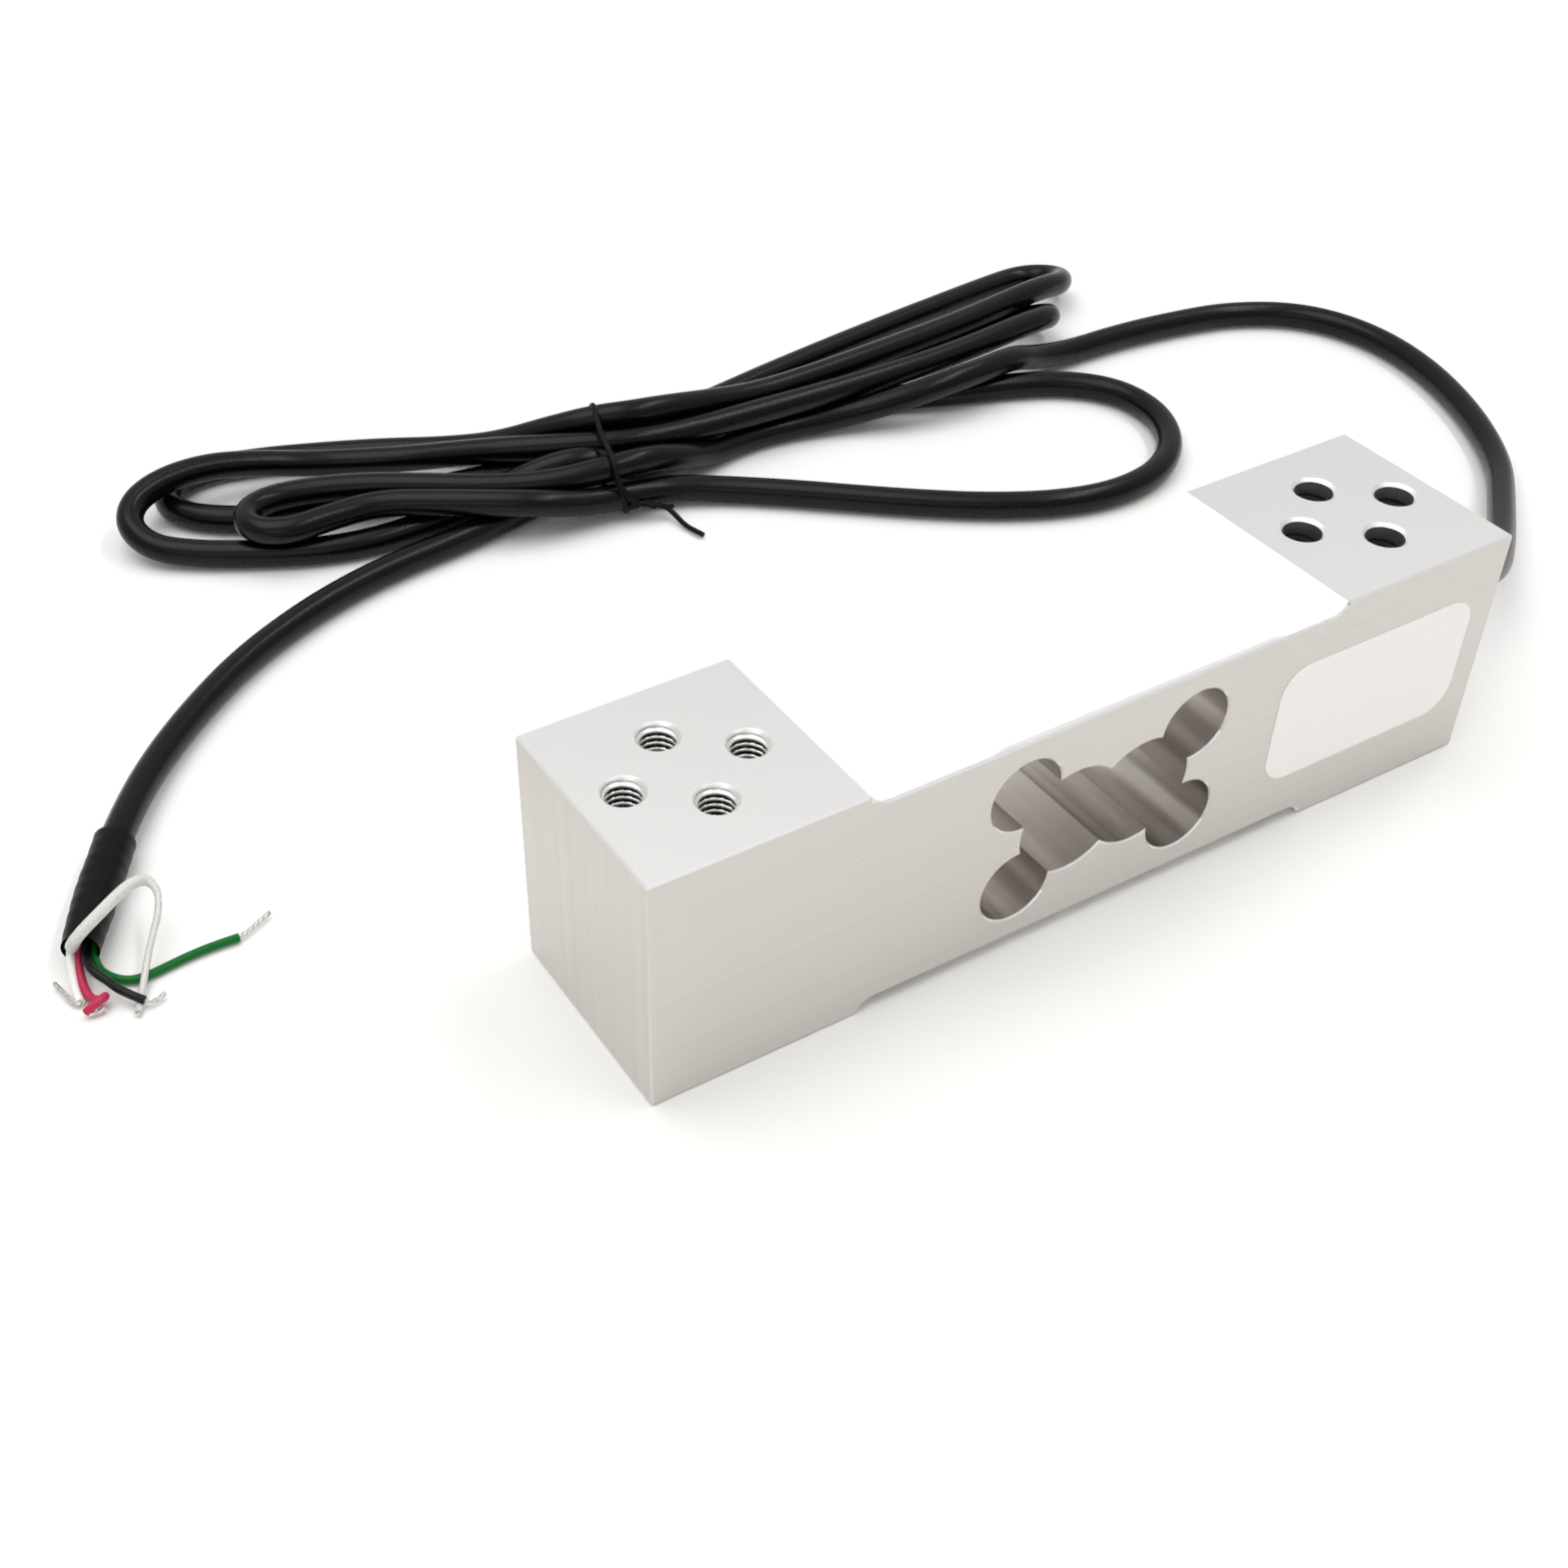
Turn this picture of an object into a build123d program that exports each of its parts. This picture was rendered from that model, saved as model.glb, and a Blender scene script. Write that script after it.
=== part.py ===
from build123d import *
import math
import os

# Strain gauge load cell with its cable. Millimetres, +Z up.
# Everything is modelled from the near left bottom corner of the bar and
# moved at export so that the bar stands centred on the origin.

# Bar
LENGTH = 150.0
WIDTH = 35.0
HEIGHT = 40.0
EDGE = 0.3
MID_X = LENGTH / 2
MID_Y = WIDTH / 2
MID_Z = HEIGHT / 2

# Shallow recess in the top and bottom faces between the end blocks
RECESS_X0 = 33.3
RECESS_X1 = 116.7
RECESS_DEPTH = 2.0
RECESS_FILLET = 3.0
DECK_TOP = HEIGHT - RECESS_DEPTH
DECK_BOTTOM = RECESS_DEPTH

# Cavity across the bar: two middle bores and four corner lobes
BORE_R = 9.0
BORE_DX = 6.1
LOBE_R = 6.0
LOBE_DX = 15.1
LOBE_DZ = 8.4
CAVITY_EDGE = 0.25

# Tapped holes, four in a diamond in each end block, top and bottom. Each is tapped
# from its face and drilled through, but for the two over the cable passage
BLOCK_MID = 16.25
ROW_X = 19.0
ROW_Y = 15.0
TAP_R = 3.0
DRILL_R = 2.5
TAP_DEPTH = 12.0
DRILL_DEPTH = 14.0
DRILL_POINT = 118.0
MOUTH_FRONT = 0.25
MOUTH_BACK = 0.5

# Cable passage from the back end, and the upright passage to the decks
PASSAGE_R = 2.8
UPRIGHT_X = 101.0

# White sealant: a thin layer over the recess and a pad with sloped ends over the gauges
LAYER_T = 0.25
LAYER_BELOW_FACE = 0.1
PAD_X0 = 52.0
PAD_X1 = 106.0
PAD_SLOPE = 7.0
PAD_EDGE = 0.9
PAD_CROWN = 1.7
MARGIN_TOP = 0.3
MARGIN_BOTTOM = 4.5

# Parts under the sealant
GAUGE = (7.0, 7.0, 0.12)
BOARD = (12.0, 8.0, 0.5)
RESISTOR = (3.2, 1.6, 0.5)
RESISTOR_AT = ((66.5, 9.0), (83.5, 9.0))
LEAD_R = 0.12
LEAD_PITCH = 1.6
LEAD_GAP = 0.03
CORE_R = 0.65
CORE_PITCH = 1.33
CORE_LIFT = 0.8
CORE_BEND = 2.2
JOINT_R = 0.6
BRIDGE_R = 0.25
BRIDGE_X = UPRIGHT_X - 2.05
BRIDGE_PITCH = 1.1

# Blank label on the near side
LABEL_X0 = 106.6
LABEL_X1 = 145.2
LABEL_Z0 = 9.8
LABEL_Z1 = 31.1
LABEL_R = 5.0
LABEL_T = 0.1

# Cable
CABLE_R = 2.5
LAY = CABLE_R + 0.1
JACKET_END_X = 119.0
SEAL_DEPTH = 9.0
COLLAR_R = 4.2
COLLAR_T = 1.3
COLLAR_MID = (3.75, 0.94)
HANK_H = 10.6
WAIST_H = 15.1
HANK_ROUND = 2.2
WALL_HALF = 3.2

# Sleeve, cores and tie
SLEEVE_R = 3.25
SLEEVE_PLUG = 4.2
SLEEVE_BACK = 9.0
WIRE_R = 0.65
TIP_R = 0.42
SHIELD_R = 0.8
TIE_R = 0.55

# Route of the cable, point by point, (x, y, z)
LEAD = [
    (150, 17.5, 20), (158, 17.5, 20), (168, 17.5, 16.6), (179.5, 21, 11.2),
    (191.5, 29.5, 7.6), (205.8, 41.5, 4.6), (219.8, 54, 2.6), (229.8, 71, 2.6),
    (236, 89.5, 2.6), (236.8, 106, 2.6), (230.5, 119.3, 2.6), (217.8, 127.6, 2.6),
    (203, 130.6, 2.6), (190, 132, 2.6), (178, 132, 2.6),
]
LOOP = [
    (82.6, 126.74, 2.6), (88, 123.8, 2.6), (97.5, 116.6, 2.6), (107, 108.6, 2.6),
    (117.5, 100, 2.6), (128, 92.5, 2.6), (139.5, 86.6, 2.6), (151, 84, 2.6),
    (162.5, 85.8, 2.6), (171.5, 92.5, 2.6), (176.6, 102.5, 2.6), (176, 113.5, 2.6),
    (169.5, 121.6, 2.6), (161.5, 125.81, 2.6),
]
TAIL = [
    (41, 135.04, 2.6), (35, 134.2, 2.6), (25, 133, 2.6), (14, 130.6, 2.6),
    (2, 126.3, 2.6), (-11, 119.6, 2.6), (-23.5, 110.2, 2.6), (-34.5, 99.6, 2.8),
    (-43.3, 87.9, 3.35), (-49.2, 78.5, 3.35), (-54.7, 69.1, 3.35),
]

# Outline of the hank seen from above, between its straight contact walls
HANK_RIGHT = [
    (184.5, 137), (187.2, 141.2), (188.6, 147.2), (195.6, 151.4), (198.6, 157.6),
    (198, 164), (191.6, 167.6), (180, 167.2), (152, 164), (117, 158.8), (94, 155),
    (86, 152.6), (77, 150.3),
]
HANK_LEFT = [
    (70, 152), (58.5, 161), (49.7, 168.2), (39.5, 173.9), (29, 178.5), (17, 182.8),
    (7, 184.8), (-2.6, 182.8), (-7.4, 176.4), (-13.6, 173.4), (-17.1, 166),
    (-14.8, 158.2), (-7.4, 152.8), (1, 147.6), (12, 142.1), (23, 139.4), (36, 137.9),
]
HANK_FRONT_LEFT = [(46, 130.2), (52, 128), (61, 126.6), (71, 126.7), (78, 124.9)]
HANK_FRONT_MID = [
    (91, 133.2), (100, 134.8), (110, 134.4), (121, 132), (131.5, 127.4),
    (141.5, 124.2), (152, 123.2),
]
HANK_EYE = [
    (12, 161.4), (22, 158.9), (31, 157.2), (41, 155.6), (38, 161), (29.5, 166),
    (20, 168.9), (11, 170.2),
]
WAIST = [
    (62, 126.6), (71, 126.8), (84, 129.2), (97, 133), (97, 155.2), (86, 152.4),
    (77, 150.1), (70, 151.9), (62, 158),
]

# Stripped cores: place in the end face of the sleeve (across, height), then the route
BLACK_AT = (0.8, 2.4)
BLACK = [(-56.0, 61.3, 1.5), (-54.6, 58.4, 0.8), (-53.2, 55.6, 0.7), (-51.3, 53.7, 0.7)]
RED_AT = (-0.6, 2.3)
RED = [(-58.6, 61.8, 1.5), (-58.7, 59.0, 0.8), (-58.4, 56.9, 0.7)]
WHITE_AT = (-2.0, 2.7)
WHITE = [(-60.6, 62.4, 1.8), (-60.5, 59.8, 0.9), (-59.7, 57.8, 0.7)]
GREEN_AT = (1.7, 3.6)
GREEN = [
    (-54.8, 61.7, 2.6), (-53.3, 59.5, 1.4), (-50.7, 58, 0.8), (-47.5, 57.6, 0.7),
    (-41.3, 58.4, 0.7), (-35.6, 58.8, 0.7),
]
SHIELD_AT = (-1.4, 4.6)
SHIELD = [
    (-59.2, 63.5, 7.8), (-56.4, 65.2, 9.2), (-53.2, 67.4, 8.6), (-49.6, 69.9, 7.4),
    (-45.8, 71.9, 5.6), (-43.0, 71.0, 3.2), (-44.0, 67.6, 1.8), (-47.2, 62.7, 2.2),
    (-50.2, 57.4, 2.7), (-53.2, 51.9, 2.7),
]
CORE_START = 1.4
SHIELD_START = 2.6

# Bare tinned ends beyond the insulation
TIP_START = 0.7
TIP_BLACK = [(-49.9, 53.0, 0.7), (-48.7, 53.3, 0.7)]
TIP_RED = [(-58.0, 55.4, 0.7), (-57.2, 54.7, 0.7)]
TIP_WHITE = [(-59.9, 56.3, 0.7), (-61.8, 57.2, 0.7), (-62.4, 60.9, 0.7)]
TIP_GREEN = [(-32.6, 60.0, 0.7), (-29.8, 61.4, 0.7)]
TIP_SHIELD = [(-54.1, 50.0, 1.6), (-54.5, 48.9, 0.7)]

# Route of the tie round the waist of the hank, then its free end
TIE_TURN = [
    (72.5, 148.3, 15.85), (71.0, 141, 15.85), (69.5, 128.4, 15.85), (69.2, 126.0, 13.6),
    (69.2, 126.0, 5), (69.8, 129.5, 0.65), (71, 140, 0.65), (72.6, 149.5, 0.65),
    (73.2, 152.3, 4), (73.2, 152.3, 13.7), (72.8, 149.9, 15.5),
]
TIE_END = [
    (69.2, 124.9, 6.5), (70.2, 124.4, 3.4), (73, 123.9, 2.4), (76, 122.5, 1.4),
    (76.7, 119.6, 0.7), (77.9, 114.8, 0.7),
]

# Room under the waist for the tie, (y, z), over this length of the hank
TIE_ROOM = [
    (120, -1), (160, -1), (160, 5.8), (151.6, 5.8), (148, 1.25), (131.2, 1.25),
    (126.9, 6.2), (120, 6.2),
]
TIE_ROOM_X0 = 66.5
TIE_ROOM_X1 = 76.0

TO_ROW = Location((-MID_X, -MID_Y, 0))


def corner_radii(points):
    """Bend radius at each inner point, from the shorter run beside it."""
    radii = []
    for a, b, c in zip(points, points[1:], points[2:]):
        first = Vector(*b) - Vector(*a)
        second = Vector(*c) - Vector(*b)
        half_turn = math.radians(first.get_angle(second)) / 2
        radii.append(0.45 * min(first.length, second.length) / math.tan(half_turn))
    return radii


def tube(points, radius, name=None):
    """Round tube along straight runs joined by tangent arcs."""
    radii = corner_radii(points)
    if name:
        print(name, "radii", " ".join(f"{r:.1f}" for r in radii))
    path = FilletPolyline(*points, radius=radii)
    start = Plane(origin=points[0], z_dir=Vector(*points[1]) - Vector(*points[0]))
    return sweep(start * Circle(radius), path=path)


def cylinder_between(start, end, radius):
    axis = Vector(*end) - Vector(*start)
    return extrude(Plane(origin=start, z_dir=axis) * Circle(radius), axis.length)


def block(x0, x1, y0, y1, z0, z1):
    return Pos((x0 + x1) / 2, (y0 + y1) / 2, (z0 + z1) / 2) * Box(x1 - x0, y1 - y0, z1 - z0)


def across(x, z, radius):
    """Cylinder through the bar from side to side."""
    return Pos(x, MID_Y, z) * Rot(90, 0, 0) * Cylinder(radius, WIDTH + 2)


def upright(x, y, z0, z1, radius):
    return Pos(x, y, (z0 + z1) / 2) * Cylinder(radius, z1 - z0)


def mirrored(shape):
    """The same shape on the other side of the bar's middle height."""
    solids = [mirror(s, about=Plane.XY.offset(MID_Z)) for s in shape.solids()]
    return solids[0] if len(solids) == 1 else Compound(solids)


# The bar

def recess(inset=0.0):
    """Cut between the end blocks with a concave fillet at each end, or that cut made smaller by inset."""
    shift = RECESS_FILLET - math.sqrt(RECESS_FILLET**2 - (RECESS_FILLET - RECESS_DEPTH) ** 2) - inset
    floor = DECK_TOP + inset
    cut = block(RECESS_X0 - shift, RECESS_X1 + shift, -1, WIDTH + 1, floor, HEIGHT + RECESS_FILLET)
    edges = cut.edges().filter_by(Axis.Y).group_by(Axis.Z)[0]
    return fillet(edges, RECESS_FILLET - inset)


def cavity():
    cut = across(MID_X - BORE_DX, MID_Z, BORE_R) + across(MID_X + BORE_DX, MID_Z, BORE_R)
    for side in (-1, 1):
        for level in (-1, 1):
            cut += across(MID_X + side * LOBE_DX, MID_Z + level * LOBE_DZ, LOBE_R)
    return cut


def tapped_hole(x, y, mouth):
    """Hole from the top face with its drill point and mouth chamfer."""
    point = DRILL_R / math.tan(math.radians(DRILL_POINT / 2))
    profile = make_face(Polyline(
        (0, HEIGHT + 1), (TAP_R + mouth, HEIGHT + 1), (TAP_R + mouth, HEIGHT),
        (TAP_R, HEIGHT - mouth), (TAP_R, HEIGHT - TAP_DEPTH), (DRILL_R, HEIGHT - TAP_DEPTH),
        (DRILL_R, HEIGHT - DRILL_DEPTH), (0, HEIGHT - DRILL_DEPTH - point), (0, HEIGHT + 1),
    ))
    return Pos(x, y, 0) * revolve(Plane.XZ * profile, Axis.Z)


def hole_centres(block_x):
    return [
        (block_x - ROW_X / 2, MID_Y), (block_x + ROW_X / 2, MID_Y),
        (block_x, MID_Y - ROW_Y / 2), (block_x, MID_Y + ROW_Y / 2),
    ]


def passages():
    along = cylinder_between((UPRIGHT_X, MID_Y, MID_Z), (LENGTH + 1, MID_Y, MID_Z), PASSAGE_R)
    return along + upright(UPRIGHT_X, MID_Y, 0, HEIGHT, PASSAGE_R)


def beam_body():
    bar = block(0, LENGTH, 0, WIDTH, 0, HEIGHT)
    bar = chamfer(bar.edges(), EDGE)
    bar -= recess()
    bar -= mirrored(recess())
    bar -= cavity()
    rims = bar.edges().filter_by(GeomType.CIRCLE)
    mouth = [e for e in rims if min(abs(e.center().Y), abs(e.center().Y - WIDTH)) < 0.01]
    bar = chamfer(mouth, CAVITY_EDGE)
    for block_x, lip in ((BLOCK_MID, MOUTH_FRONT), (LENGTH - BLOCK_MID, MOUTH_BACK)):
        for x, y in hole_centres(block_x):
            hole = tapped_hole(x, y, lip)
            bar -= hole
            bar -= mirrored(hole)
            if block_x < MID_X or y != MID_Y:
                bar -= upright(x, y, DRILL_DEPTH, HEIGHT - DRILL_DEPTH, DRILL_R)
    return bar - passages()


# Parts under the sealant

def on_deck(x, y, size):
    """Plate of the given size standing on the top deck."""
    return Pos(x, y, DECK_TOP + size[2] / 2) * Box(*size)


def gauge(side):
    return on_deck(MID_X + side * LOBE_DX, MID_Y, GAUGE)


def terminal_board():
    return on_deck(MID_X, MID_Y, BOARD)


def span_resistors():
    return Compound([on_deck(x, y, RESISTOR) for x, y in RESISTOR_AT])


def solder_joints():
    """Row of solder domes along both ends of the board."""
    domes = []
    top = DECK_TOP + BOARD[2]
    for side in (-1, 1):
        x = MID_X + side * (BOARD[0] / 2 - JOINT_R)
        for row in (-1.5, -0.5, 0.5, 1.5):
            dome = Pos(x, MID_Y + row * CORE_PITCH, top) * Sphere(JOINT_R)
            domes.append((dome & block(x - 1, x + 1, 0, WIDTH, top, top + 1)).solid())
    return Compound(domes)


def gauge_leads():
    """Two fine wires from each gauge to the board, lying just above both."""
    level = DECK_TOP + BOARD[2] + LEAD_R + LEAD_GAP
    made = []
    for side in (-1, 1):
        inner = MID_X + side * (BOARD[0] / 2 - 2 * JOINT_R)
        outer = MID_X + side * (LOBE_DX - GAUGE[0] / 2 + 1)
        for row in (-2, 2):
            y = MID_Y + row * LEAD_PITCH
            made.append(cylinder_between((inner, y, level), (outer, y, level), LEAD_R))
    return Compound(made)


def core_wires_inner():
    """Four cores side by side from the jacket end up to the board."""
    level = DECK_TOP + CORE_LIFT
    end_x = MID_X + BOARD[0] / 2 + 0.1
    made = []
    for row in (-1.5, -0.5, 0.5, 1.5):
        y = MID_Y + row * CORE_PITCH
        points = [(JACKET_END_X, y, MID_Z), (UPRIGHT_X, y, MID_Z), (UPRIGHT_X, y, level), (end_x, y, level)]
        path = FilletPolyline(*points, radius=CORE_BEND)
        start = Plane(origin=points[0], z_dir=(-1, 0, 0))
        made.append(sweep(start * Circle(CORE_R), path=path).solid())
    return Compound(made)


def bridge_wires():
    made = [
        upright(BRIDGE_X, MID_Y + row * BRIDGE_PITCH, DECK_BOTTOM, DECK_TOP - 0.3, BRIDGE_R)
        for row in (-0.5, 0.5)
    ]
    return Compound(made)


# Sealant

def silicone_cover(margin):
    """Layer that follows the recess, with the pad on it, set in by margin from the long edges."""
    room = block(0, LENGTH, margin, WIDTH - margin, 0, HEIGHT - LAYER_BELOW_FACE)
    layer = (recess() - recess(LAYER_T)) & room
    near = (margin, DECK_TOP + PAD_EDGE)
    far = (WIDTH - margin, DECK_TOP + PAD_EDGE)
    outline = Polyline(near, (margin, DECK_TOP), (WIDTH - margin, DECK_TOP), far)
    crown = ThreePointArc(near, (MID_Y, DECK_TOP + PAD_CROWN), far)
    face = Plane.YZ * make_face([outline, crown])
    pad = Pos(PAD_X0, 0, 0) * extrude(face, PAD_X1 - PAD_X0)
    slopes = Plane.XZ * make_face(Polyline(
        (PAD_X0, DECK_TOP), (PAD_X0 + PAD_SLOPE, HEIGHT), (PAD_X1 - PAD_SLOPE, HEIGHT),
        (PAD_X1, DECK_TOP), (PAD_X0, DECK_TOP),
    ))
    return layer + (pad & extrude(slopes, -WIDTH))


def without(shape, *pieces):
    for piece in pieces:
        for solid in piece.solids():
            shape -= solid
    return shape


def cable_entry_seal():
    """Sealant ring in the passage with a low domed collar outside."""
    outside = Polyline((CABLE_R, -SEAL_DEPTH), (PASSAGE_R, -SEAL_DEPTH), (PASSAGE_R, 0), (COLLAR_R, 0))
    dome = ThreePointArc((COLLAR_R, 0), COLLAR_MID, (CABLE_R, COLLAR_T))
    back = Line((CABLE_R, COLLAR_T), (CABLE_R, -SEAL_DEPTH))
    ring = revolve(Plane.XZ * make_face([outside, dome, back]), Axis.Z)
    return Pos(LENGTH, MID_Y, MID_Z) * Rot(0, 90, 0) * ring


def label_sticker():
    plate = Plane.XZ * RectangleRounded(LABEL_X1 - LABEL_X0, LABEL_Z1 - LABEL_Z0, LABEL_R)
    sheet = extrude(plate, LABEL_T)
    return Pos((LABEL_X0 + LABEL_X1) / 2, 0, (LABEL_Z0 + LABEL_Z1) / 2) * sheet


# Cable

def wall(end, inner):
    """Flat wall that a cable end meets: its left and right outline points."""
    run = (Vector(end[0], end[1]) - Vector(inner[0], inner[1])).normalized()
    dx = -run.Y * WALL_HALF
    dy = run.X * WALL_HALF
    return [(end[0] + dx, end[1] + dy), (end[0] - dx, end[1] - dy)]


def hank_outline():
    lead_wall = wall(LEAD[-1], LEAD[-2])
    tail_wall = wall(TAIL[0], TAIL[1])
    exit_wall = wall(LOOP[0], LOOP[1])
    return_wall = wall(LOOP[-1], LOOP[-2])
    points = lead_wall[1:] + HANK_RIGHT + HANK_LEFT + tail_wall + HANK_FRONT_LEFT
    return points + exit_wall + HANK_FRONT_MID + return_wall + lead_wall[:1]


def prism(points, height):
    face = make_face(Polyline(*points, close=True))
    return Pos(0, 0, LAY - CABLE_R) * extrude(face, height - (LAY - CABLE_R))


def cable_hank():
    """Outer shape of the tied coil, as one solid."""
    low = prism(hank_outline(), HANK_H)
    low = chamfer(low.faces().sort_by(Axis.Z)[-1].edges(), HANK_ROUND)
    low -= prism(HANK_EYE, HANK_H + 1)
    waist = prism(WAIST, WAIST_H)
    waist = chamfer(waist.faces().sort_by(Axis.Z)[-1].edges(), HANK_ROUND)
    room = Plane.YZ * make_face(Polyline(*TIE_ROOM, close=True))
    room = Pos(TIE_ROOM_X0, 0, 0) * extrude(room, TIE_ROOM_X1 - TIE_ROOM_X0)
    return low + waist - room


def sleeve_axis():
    """Direction of the last run of the cable and the middle of the sleeve's end face."""
    end = Vector(*TAIL[-1])
    run = (end - Vector(*TAIL[-2])).normalized()
    return run, end + run * SLEEVE_PLUG


def heat_shrink_sleeve():
    """Sleeve over the jacket end, closed round the cores beyond it."""
    corner = Vector(*TAIL[-2])
    before = (corner - Vector(*TAIL[-3])).normalized()
    begin = corner - before * SLEEVE_BACK
    finish = sleeve_axis()[1]
    return tube([tuple(begin), tuple(corner), tuple(finish)], SLEEVE_R)


def core_route(place, route, straight):
    """Route of a core that leaves the sleeve's end face square to it."""
    run, middle = sleeve_axis()
    start = Vector(middle.X - run.Y * place[0], middle.Y + run.X * place[0], place[1])
    return [tuple(start), tuple(start + run * straight)] + route


def tip_route(core, route):
    """Route of a bare end that leaves its insulation straight on."""
    end = Vector(*core[-1])
    run = (end - Vector(*core[-2])).normalized()
    return [tuple(end), tuple(end + run * TIP_START)] + route


def tinned_tips(cores):
    """One bare end for each core, in the order of the cores."""
    routes = (TIP_BLACK, TIP_RED, TIP_WHITE, TIP_GREEN, TIP_SHIELD)
    tips = [tube(tip_route(core, route), TIP_R).solid() for core, route in zip(cores, routes)]
    return Compound(tips)


def main():
    gauges = {"front": gauge(-1), "back": gauge(1)}
    board = terminal_board()
    resistors = span_resistors()
    joints = solder_joints()
    leads = gauge_leads()
    cores = core_wires_inner()
    cover = silicone_cover(MARGIN_TOP)
    cover_below = silicone_cover(MARGIN_BOTTOM)
    under = (gauges["front"], gauges["back"], board, joints, leads)
    lead = tube(LEAD, CABLE_R, "cable_lead")
    loop = tube(LOOP, CABLE_R, "cable_loop")
    tail = tube(TAIL, CABLE_R, "cable_tail")
    turn = tube(TIE_TURN, TIE_R, "twist_tie turn")
    jacket_end = (JACKET_END_X, MID_Y, MID_Z)
    black = core_route(BLACK_AT, BLACK, CORE_START)
    red = core_route(RED_AT, RED, CORE_START)
    white = core_route(WHITE_AT, WHITE, CORE_START)
    green = core_route(GREEN_AT, GREEN, CORE_START)
    shield = core_route(SHIELD_AT, SHIELD, SHIELD_START)
    free = tube(TIE_END, TIE_R, "twist_tie end")
    nodes = {
        "beam_body": beam_body(),
        "silicone_cover_top": without(cover, *under, resistors, cores),
        "silicone_cover_bottom": mirrored(without(cover_below, *under)),
        "terminal_board_top": board,
        "terminal_board_bottom": mirrored(board),
        "span_resistors": resistors,
        "solder_joints_top": joints,
        "solder_joints_bottom": mirrored(joints),
        "gauge_leads_top": leads,
        "gauge_leads_bottom": mirrored(leads),
        "core_wires_inner": cores,
        "bridge_wires": bridge_wires(),
        "cable_entry_seal": cable_entry_seal(),
        "label_sticker": label_sticker(),
        "cable_inner": cylinder_between(jacket_end, LEAD[0], CABLE_R),
        "cable_lead": lead,
        "cable_hank": cable_hank(),
        "cable_loop": loop,
        "cable_tail": tail,
        "heat_shrink_sleeve": heat_shrink_sleeve() - tail,
        "wire_black": tube(black, WIRE_R, "wire_black"),
        "wire_red": tube(red, WIRE_R, "wire_red"),
        "wire_white": tube(white, WIRE_R, "wire_white"),
        "wire_green": tube(green, WIRE_R, "wire_green"),
        "shield_sleeve": tube(shield, SHIELD_R, "shield_sleeve"),
        "tinned_tips": tinned_tips((black, red, white, green, shield)),
        "twist_tie": Compound([turn.solid(), free.solid()]),
    }
    for side, shape in gauges.items():
        nodes[f"strain_gauge_top_{side}"] = shape
        nodes[f"strain_gauge_bottom_{side}"] = mirrored(shape)
    os.makedirs("parts", exist_ok=True)
    for name, shape in nodes.items():
        export_step(shape.moved(TO_ROW), f"parts/{name}.step")
        print(name, "volume", round(shape.volume, 1), "solids", len(shape.solids()))


main()
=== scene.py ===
import math

import bpy
import numpy as np
from mathutils import Matrix, Vector


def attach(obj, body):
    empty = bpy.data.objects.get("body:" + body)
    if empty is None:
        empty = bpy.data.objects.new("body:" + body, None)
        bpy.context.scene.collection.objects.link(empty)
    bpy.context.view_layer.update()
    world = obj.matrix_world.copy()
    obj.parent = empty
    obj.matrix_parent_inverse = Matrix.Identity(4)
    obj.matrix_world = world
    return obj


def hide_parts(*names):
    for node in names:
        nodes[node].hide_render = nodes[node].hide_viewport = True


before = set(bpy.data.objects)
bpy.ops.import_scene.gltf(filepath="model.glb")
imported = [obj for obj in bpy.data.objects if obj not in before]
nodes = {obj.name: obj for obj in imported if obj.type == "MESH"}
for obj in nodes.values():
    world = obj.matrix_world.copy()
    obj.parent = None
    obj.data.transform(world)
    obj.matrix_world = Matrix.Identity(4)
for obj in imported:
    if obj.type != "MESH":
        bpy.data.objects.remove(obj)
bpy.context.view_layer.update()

MM = 0.001
BAR_LENGTH = 150.0
BAR_WIDTH = 35.0
BAR_HEIGHT = 40.0


def at(point):
    """A point measured in mm from the bar's near left bottom corner, in metres in the row frame."""
    return Vector(((point[0] - BAR_LENGTH / 2) * MM, (point[1] - BAR_WIDTH / 2) * MM, point[2] * MM))


# Camera: the place in mm from the same corner, the picture sizes in pixels

IMAGE = 1569
FOCAL_PX = 2039.9
CENTRE_PX = (674.6, 815.1)
SENSOR = 36.0
CLIP_START = 0.01
CAMERA_AT = (-88.4, -158.6, 209.0)
CAMERA_FORWARD = (0.3808, 0.6534, -0.6543)
CAMERA_RIGHT = (0.8602, -0.5098, -0.0085)


def make_camera():
    """Camera of the photograph: lens = focal length in pixels / picture width x sensor width."""
    data = bpy.data.cameras.new("camera")
    data.sensor_width = SENSOR
    data.lens = FOCAL_PX / IMAGE * SENSOR
    data.shift_x = (IMAGE / 2 - CENTRE_PX[0]) / IMAGE
    data.shift_y = (CENTRE_PX[1] - IMAGE / 2) / IMAGE
    data.clip_start = CLIP_START
    camera = bpy.data.objects.new("camera", data)
    bpy.context.collection.objects.link(camera)
    forward = Vector(CAMERA_FORWARD).normalized()
    right = Vector(CAMERA_RIGHT)
    right = (right - forward * right.dot(forward)).normalized()
    up = right.cross(forward)
    turn = Matrix((right, up, -forward)).transposed().to_4x4()
    camera.matrix_world = Matrix.Translation(at(CAMERA_AT)) @ turn
    bpy.context.scene.camera = camera


make_camera()

# Routes in mm from the bar's near left bottom corner, diameters in mm

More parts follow.
